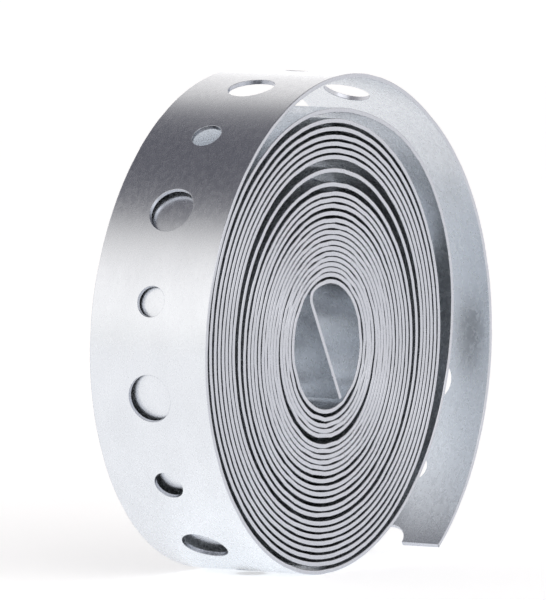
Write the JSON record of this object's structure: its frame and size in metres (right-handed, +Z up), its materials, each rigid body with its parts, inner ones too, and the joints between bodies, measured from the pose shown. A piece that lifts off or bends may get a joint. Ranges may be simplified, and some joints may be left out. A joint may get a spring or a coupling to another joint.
{
  "type": "perforated steel strap",
  "caption": "Coil of perforated galvanised steel hanger strap: one thin punched strip, loosely wound and standing on its rim.",
  "frame": {"origin": "on the floor, under the middle of the coil's box", "axes": "+Y along the coil's axis, away from the end that the picture shows, +Z up"},
  "size_m": [0.0808, 0.019, 0.071],
  "materials": {
    "galvanised_steel": "hot-dip galvanised strip, satin"
  },
  "bodies": {
    "root": {"strap": "galvanised_steel"}
  },
  "joints": []
}
